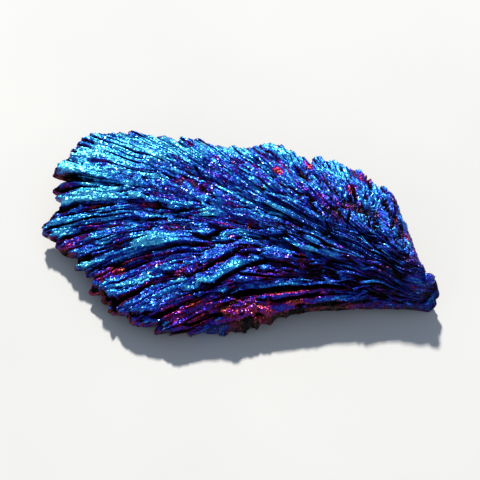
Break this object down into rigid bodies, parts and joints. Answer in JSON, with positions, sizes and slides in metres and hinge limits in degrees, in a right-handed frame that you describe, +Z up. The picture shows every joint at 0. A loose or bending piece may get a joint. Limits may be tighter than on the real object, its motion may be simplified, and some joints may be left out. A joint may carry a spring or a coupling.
{
  "type": "black tourmaline cluster",
  "caption": "Wing-shaped spray of bladed tourmaline crystals fanning from a narrow root, with an iridescent coating, lying on a flat belly face.",
  "frame": {"origin": "centre of the bounding box in X and Y, on the plane that the cluster rests on", "axes": "+X runs along the wing from its jagged tip to its narrow root, +Y towards the straight-backed far edge, +Z up from the resting face"},
  "size_m": [0.0604, 0.032, 0.0114],
  "materials": {
    "coated_tourmaline": "opaque black tourmaline under a thin iridescent metal coating: cyan and blue on exposed faces, violet, magenta and dark red in the recesses, satin with glitter"
  },
  "bodies": {
    "root": {"crystal_cluster": "coated_tourmaline"}
  },
  "joints": []
}
